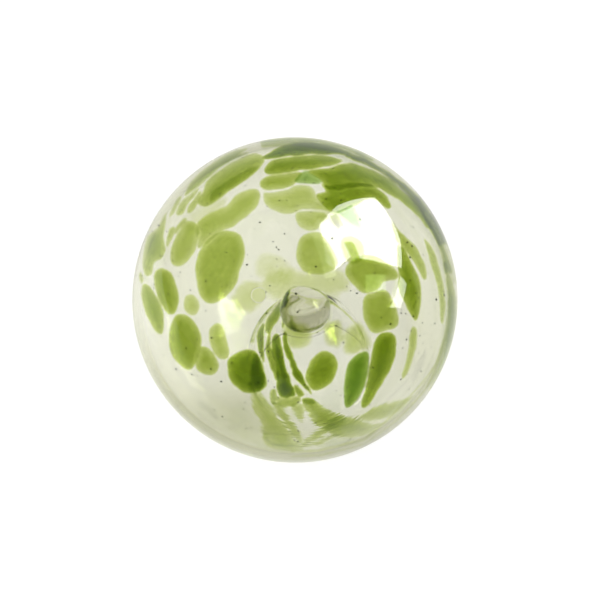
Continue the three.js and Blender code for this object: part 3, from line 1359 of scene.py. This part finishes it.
    def bubbles(self, first: int, kick: np.ndarray) -> tuple:
        """The air caught in the glass: one blister in the near wall and fine beads down the kick's flank.

        Args:
            first: number that the first new point gets.
            kick: points of the kick's skin.

        Returns:
            The points and the faces, which look into the air.
        """
        s = self.sizes
        view = ShellView(s, self.camera)
        blister = view.near_wall_point(self.blister_pixel, s.wall / 2)
        spots = [(blister, unit(s.centre - blister), self.blister_radius, self.blister_depth)]
        flank = kick[kick[:, 1] < 0]
        everywhere = np.ones(len(flank), bool)
        _, flank_pixels = view.inner_skin(flank, everywhere, everywhere)
        for index, pixel in enumerate(self.bead_pixels):
            point = flank[np.argmin(np.linalg.norm(flank_pixels - np.array(pixel), axis=1))]
            axis_point = np.array([s.lean(point[2]), 0.0, point[2] - self.bead_drop])
            size = self.bead_radius * self.bead_shares[index % len(self.bead_shares)]
            middle = point + unit(axis_point - point) * (size + self.bead_cover)
            spots.append((middle, np.array([0.0, 0.0, 1.0]), size, size))
        points = []
        faces = []
        for spot, axis, radius, depth in spots:
            flat = depth < radius
            steps = self.blister_steps if flat else self.bead_steps
            profile = arc((0, 0), radius, depth, math.pi, 0, steps)
            if flat:
                height = profile[:, 1]
                profile[:, 1] = depth * np.sign(height) * np.abs(height / depth) ** self.blister_squareness
            sides = self.blister_sides if flat else self.bead_sides
            turns = np.linspace(0, 2 * math.pi, sides, endpoint=False)
            shape, shape_faces = self.lathe(profile, turns, first + len(points), False)
            turn = Vector((0, 0, 1)).rotation_difference(Vector(axis)).to_matrix()
            points.extend(spot + shape @ np.array(turn).T)
            faces.extend(shape_faces)
        return np.array(points), faces

    def unevenness(self, points: np.ndarray) -> np.ndarray:
        """How far the hand-worked inside is from a true round.

        A wave has its count round the axis, the height at which it has turned by a radian, and its share.

        Args:
            points: points of the cavity.

        Returns:
            A small shift for each point.
        """
        turn = np.arctan2(points[:, 1], points[:, 0])
        height = points[:, 2]
        waves = [share * np.sin(count * turn + height / rise) for count, rise, share in self.swell_waves]
        swell = self.swell * sum(waves)
        out = points * np.array([1.0, 1.0, 0.0])
        away = np.linalg.norm(out, axis=1) / self.swell_reach
        return unit(out) * (swell * np.clip(away, 0, 1))[:, None]

    def colour(
        self, mesh: bpy.types.Mesh, points: np.ndarray, in_recess: np.ndarray, on_kick: np.ndarray
    ) -> None:
        """Stores the flecks, and the clear glass's own milkiness with painted shade, on the mesh.

        Args:
            mesh: the ball's mesh.
            points: its points, those of the outer skin first and those of the cavity next.
            in_recess: true for the outer skin's points in the recess.
            on_kick: true for the cavity's points on the kick.
        """
        view = ShellView(self.sizes, self.camera)
        outer = points[: len(in_recess)]
        cavity = points[len(in_recess) : len(in_recess) + len(on_kick)]
        normals = np.zeros(len(points) * 3)
        mesh.vertex_normals.foreach_get("vector", normals)
        facing = normals.reshape(-1, 3)[len(outer) : len(outer) + len(cavity)] @ view.toward_camera() > 0
        outer_zone, outer_pixels = view.outer_skin(outer, in_recess)
        inner_zone, inner_pixels = view.inner_skin(cavity, on_kick, facing)
        rest = len(points) - len(outer) - len(cavity)
        zone = np.concatenate([outer_zone, inner_zone, np.full(rest, Zone.BARE.value)])
        pixels = np.concatenate([outer_pixels, inner_pixels, np.zeros((rest, 2))])
        marks = outer_wall_flecks() + rim_flecks() + far_wall_flecks() + floor_bands() + kick_streaks()
        ColourLayers(marks=marks).store(mesh, zone, pixels)
        height = points[:, 2]
        haze_shade_and_comb = np.zeros((len(points), 3), np.float32)
        # First number: the milkiness with painted shade; second: how combed the glass is.
        haze_shade_and_comb[:, 0] = np.where(zone == Zone.FRONT.value, HazeAndPaintedShade().amount(pixels, self.camera), 0.0)
        floor_comb = np.clip((self.comb_top - height) / self.comb_fade, 0, 1)
        kick_comb = np.clip((self.kick_comb_top - height) / self.kick_comb_fade, 0, 1)
        haze_shade_and_comb[:, 1] = floor_comb * (zone == Zone.FLOOR.value) + kick_comb * (zone == Zone.KICK.value)
        mesh.attributes.new("haze_shade_and_comb", "FLOAT_VECTOR", "POINT").data.foreach_set("vector", haze_shade_and_comb.ravel())


@dataclass
class SeedSpecks:
    """Dark seeds sealed in the wall: small ones strewn by a fixed draw, large ones as photographed."""

    sizes: BallSizes
    camera: PhotoCamera
    count: int = 440
    draw: int = 11
    depth: float = 0.5
    lowest: float = -0.8
    small_radius: float = 0.21
    radius_spread: float = 0.15
    least_stretch: float = 0.7
    stretch_spread: float = 0.6
    large_pixels: tuple = (
        (333, 237), (246, 264), (413.8, 245.3), (409.3, 241.5), (408.3, 340.1), (438, 299.5), (445.7, 295),
        (402.3, 380.5), (422.7, 372.2), (174.5, 370), (209.5, 370), (184.5, 349), (296, 293.5),
    )
    large_radius: float = 0.42

    def build(self) -> bpy.types.Object:
        """Makes the seeds as one piece, each a small lump of eight faces.

        Returns:
            The seeds' object.
        """
        s = self.sizes
        random = np.random.default_rng(self.draw)
        direction = random.normal(size=(self.count, 3))
        direction /= np.linalg.norm(direction, axis=1, keepdims=True)
        direction = direction[direction[:, 2] > self.lowest]
        reach = s.ball_radius - self.depth - random.random(len(direction)) * (s.wall - 2 * self.depth)
        places = s.centre + direction * reach[:, None]
        radii = self.small_radius + self.radius_spread * random.random(len(direction))
        view = ShellView(s, self.camera)
        named = [view.near_wall_point(pixel, s.wall / 2) for pixel in self.large_pixels]
        places = np.concatenate([places, named])
        radii = np.concatenate([radii, np.full(len(named), self.large_radius)])
        points = []
        faces = []
        shape = np.array([(1, 0, 0), (0, 1, 0), (-1, 0, 0), (0, -1, 0), (0, 0, 1), (0, 0, -1)], float)
        sides = [(0, 1, 4), (1, 2, 4), (2, 3, 4), (3, 0, 4), (1, 0, 5), (2, 1, 5), (3, 2, 5), (0, 3, 5)]
        for place, radius in zip(places, radii):
            stretch = self.least_stretch + self.stretch_spread * random.random(3)
            first = len(points)
            points.extend(place + shape * radius * stretch)
            faces.extend([tuple(first + corner for corner in side) for side in sides])
        return make_object("seed_specks", np.array(points) * METRES, faces)


@dataclass(frozen=True)
class Pane:
    """One bright part of what the glass mirrors: the window's panes, its bars and what is seen through it.

    Its outline is the sideways and upward slope, from the ball, of each corner. A closer part covers those
    behind it.
    """

    name: str
    share: float
    outline: tuple
    colour: tuple = (1.0, 1.0, 0.97)
    deep: bool = False
    closer: float = 0.0


def window_panes() -> list:
    """The panes of the window, its bars, and what is seen through it."""
    return [
        Pane("main_pane", 1.0, ((-0.04, 0.19), (0.25, 0.20), (0.80, 0.34), (0.80, 1.2), (0.55, 2.15),
                                (-0.58, 2.1), (-0.61, 1.57), (-0.22, 1.08), (-0.10, 0.40))),
        Pane("lower_pane", 0.36, ((-0.38, 0.73), (-0.62, 0.66), (-0.40, 0.33), (-0.22, 0.40)),
                                  (0.75, 1.0, 0.35)),
        Pane("sill_pane", 0.8, ((-0.12, 0.19), (-0.51, 0.18), (-0.40, 0.04), (-0.14, 0.08))),
        Pane("upper_pane", 0.2, ((0.42, 3.12), (0.39, 2.32), (-0.36, 1.66), (-0.75, 1.53), (-1.06, 2.11),
                                 (-0.39, 2.54)), (0.9, 1.0, 0.6)),
        Pane("garden_pane", 0.5, ((0.68, 1.03), (0.71, 0.85), (0.6, 0.78), (0.48, 0.79), (0.35, 0.75),
                                  (0.27, 0.81), (0.34, 0.98), (0.49, 1.12), (0.67, 1.28)),
                                  (0.6, 1.0, 0.85), closer=0.01),
        Pane("bar_above", 0.2, ((0.63, 1.58), (0.62, 1.32), (0.35, 1.2), (0.29, 1.38), (0.41, 1.47)),
                                (0.85, 0.85, 1.0), closer=0.01),
        Pane("bar_below", 0.35, ((0.02, 1.25), (0.05, 1.03), (-0.17, 0.88), (-0.29, 1.03)),
                                 (0.75, 1.0, 0.3), closer=0.01),
        Pane("far_wall_pane", 2.6, ((-0.6, 0.2), (-0.54, 0.47), (-0.68, 0.64), (-0.49, 1.11),
                                    (0.05, 1.09), (0.1, 0.83), (0.25, 0.585), (0.1, 0.54),
                                    (-0.13, 0.46)), deep=True, closer=0.02),
    ]


@dataclass
class Studio:
    """The table top, which glows with painted light, the soft room light and the window that the glass
    mirrors.

    The camera's side of the room is pale to the camera but dim to the glass that mirrors it: a fall names
    the two places between which something dims.
    """

    sizes: BallSizes
    camera: PhotoCamera
    table_half: float = 8.0
    table_drop: float = 0.0003
    table_colour: tuple = (0.3, 0.3, 0.3, 1.0)
    table_painted_glow: tuple = (1.0, 1.0, 0.99, 1.0)
    table_painted_light: float = 0.9
    table_painted_fade: float = 0.26
    table_fall: tuple = (0.15, 0.7)
    side_fall: tuple = (-0.4, 0.4)
    near_fade_share: float = 0.3
    near_fall: tuple = (0.02, 0.12)
    right_dimness: float = 0.2
    right_fall: tuple = (0.05, 0.2)
    window_distance: float = 0.9
    window_light: float = 10.0
    backdrop_light: float = 0.88
    overhead_light: float = 0.72
    overhead_rise: tuple = (0.0, 0.8)
    mirrored_room: float = 0.12
    mirrored_warmth: float = 0.35
    mirrored_lamp: float = 0.6
    lamp_way: tuple = (-0.6, 0.8)
    lamp_fall: tuple = (0.3, 1.0)
    room_fall: tuple = (-0.75, -0.1)
    near_wall_passes: float = 2.5
    far_wall_passes: float = 4.5
    light_bounces: int = 40

    def light_material(self, pane: Pane) -> bpy.types.Material:
        """Makes the glow of a pane, which only one of the ball's walls mirrors.

        Args:
            pane: the pane, which is deep if the far wall and the kick mirror it, not the near wall.

        Returns:
            The material.
        """
        bench = NodeBench(bpy.data.materials.new(pane.name + "_light"))
        side = "GREATER_THAN" if pane.deep else "LESS_THAN"
        seen = bench.math(side, bench.light_path("Transmission Depth"), self.near_wall_passes)
        glow = bench.add("ShaderNodeEmission")
        bench.feed(glow, Color=(*pane.colour, 1.0), Strength=self.window_light * pane.share)
        clear = bench.add("ShaderNodeBsdfTransparent")
        either = bench.add("ShaderNodeMixShader")
        bench.fill(either, (seen, Wire(bench, clear.outputs[0]), Wire(bench, glow.outputs[0])))
        return bench.finish(either)

    def panel(self, name: str, corners: list, material: bpy.types.Material) -> bpy.types.Object:
        """Makes a flat staged piece.

        Args:
            name: its name.
            corners: its corners in metres.
            material: its finish.

        Returns:
            The object.
        """
        made = make_object(name, corners, [tuple(range(len(corners)))])
        made.data.materials.append(material)
        return made

    def table(self) -> None:
        """Lays the table top just under the foot ring; it glows with painted light, a little darker away
        from the ball to the right.
        """
        half = self.table_half
        corners = [(x, y, -self.table_drop) for x, y in ((-half, -half), (half, -half), (half, half),
                                                         (-half, half))]
        bench = NodeBench(bpy.data.materials.new("table_top"))
        x, y, _ = bench.split(bench.place())
        away = bench.math("SQRT", x * x + y * y)
        nearer = y * -1.0
        side = bench.ramp(x, *self.side_fall) + bench.ramp(nearer, *self.side_fall) * self.near_fade_share
        fade = bench.ramp(away, *self.table_fall) * self.table_painted_fade * side
        right_side = bench.ramp(x + y, *self.right_fall) * self.right_dimness
        dim_side = bench.math("MAXIMUM", bench.ramp(nearer, *self.near_fall), right_side)
        hidden = self.mirrored(bench, dim_side) * (self.table_painted_light - self.mirrored_room)
        # Painted light: the table glows, brightest by the ball, and dim where the glass mirrors the
        # camera's side or the right.
        light = bench.math("SUBTRACT", self.table_painted_light - fade, hidden, clamp=True)
        shader = bench.add("ShaderNodeBsdfPrincipled")
        bench.feed(shader, Base_Color=self.table_colour, Roughness=1.0, Specular_IOR_Level=0.0)
        bench.feed(shader, Emission_Color=self.table_painted_glow, Emission_Strength=light)
        self.panel("table_top", corners, bench.finish(shader))

    def window(self) -> None:
        """Hangs the window's panes to the right, where the glass mirrors them."""
        for pane in window_panes():
            d = self.window_distance * (1 - pane.closer)
            height = self.sizes.centre_height * METRES
            corners = [(d, y * d, height + z * d) for y, z in pane.outline]
            made = self.panel(pane.name, corners, self.light_material(pane))
            made.visible_diffuse = False
            made.visible_camera = False

    def mirrored(self, bench: NodeBench, dim_side: Wire) -> Wire:
        """Tells light that the glass mirrors from light that comes straight or through it.

        Args:
            bench: the nodes that need it.
            dim_side: 1 on the side of the room that is dim, and 0 on the pale one.

        Returns:
            1 for light that is mirrored from the dim side and 0 for the rest.
        """
        glanced = bench.math("GREATER_THAN", bench.light_path("Glossy Depth"), 0.5)
        shallow = bench.math("LESS_THAN", bench.light_path("Transmission Depth"), self.far_wall_passes)
        return glanced * shallow * dim_side

    def room(self) -> None:
        """Lights the room: a pale backdrop all round, which the glass mirrors as a dim room."""
        world = bpy.data.worlds.new("studio_room")
        bpy.context.scene.world = world
        bench = NodeBench(world)
        x, y, z = bench.split(bench.place("Generated"))
        drop = self.overhead_light - self.backdrop_light
        pale = bench.ramp(z, *self.overhead_rise) * drop + self.backdrop_light
        lamp = bench.ramp(x * self.lamp_way[0] + z * self.lamp_way[1], *self.lamp_fall)
        dim = lamp * self.mirrored_lamp + self.mirrored_room
        _, back_y, back_z = (-float(part) for part in self.camera.axes()[2])
        mirrored = self.mirrored(bench, bench.ramp(y * back_y + z * back_z, *self.room_fall))
        colour = bench.join(1.0, 1.0, 1.0 - mirrored * self.mirrored_warmth)
        background = bench.add("ShaderNodeBackground")
        bench.feed(background, Color=colour, Strength=pale + (dim - pale) * mirrored)
        output = bench.add("ShaderNodeOutputWorld")
        bench.feed(output, Surface=Wire(bench, background.outputs[0]))

    def build(self) -> None:
        """Makes the whole studio and sets plain colours."""
        self.table()
        self.window()
        self.room()
        view = bpy.context.scene.view_settings
        view.view_transform = "Standard"
        view.look = "None"
        light_paths = bpy.context.scene.cycles
        light_paths.max_bounces = self.light_bounces
        light_paths.transmission_bounces = self.light_bounces
        light_paths.glossy_bounces = self.light_bounces


def main() -> None:
    """Builds every piece in order."""
    logging.basicConfig(level=logging.INFO, format="%(name)s: %(message)s")
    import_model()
    sizes = BallSizes()
    camera = PhotoCamera()
    camera.make(sizes)
    Studio(sizes, camera).build()
    LOG.info("made the studio")

    ball = BlownBall(sizes, camera).build()
    ball.data.materials.append(FleckedGlass().make())
    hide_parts("glass_ball")
    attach(ball, "root")
    LOG.info("made %s with %d points", ball.name, len(ball.data.vertices))

    seeds = SeedSpecks(sizes, camera).build()
    seeds.data.materials.append(SeedGrit().make())
    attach(seeds, "root")
    LOG.info("made %s with %d points", seeds.name, len(seeds.data.vertices))


if __name__ == "__main__":
    main()
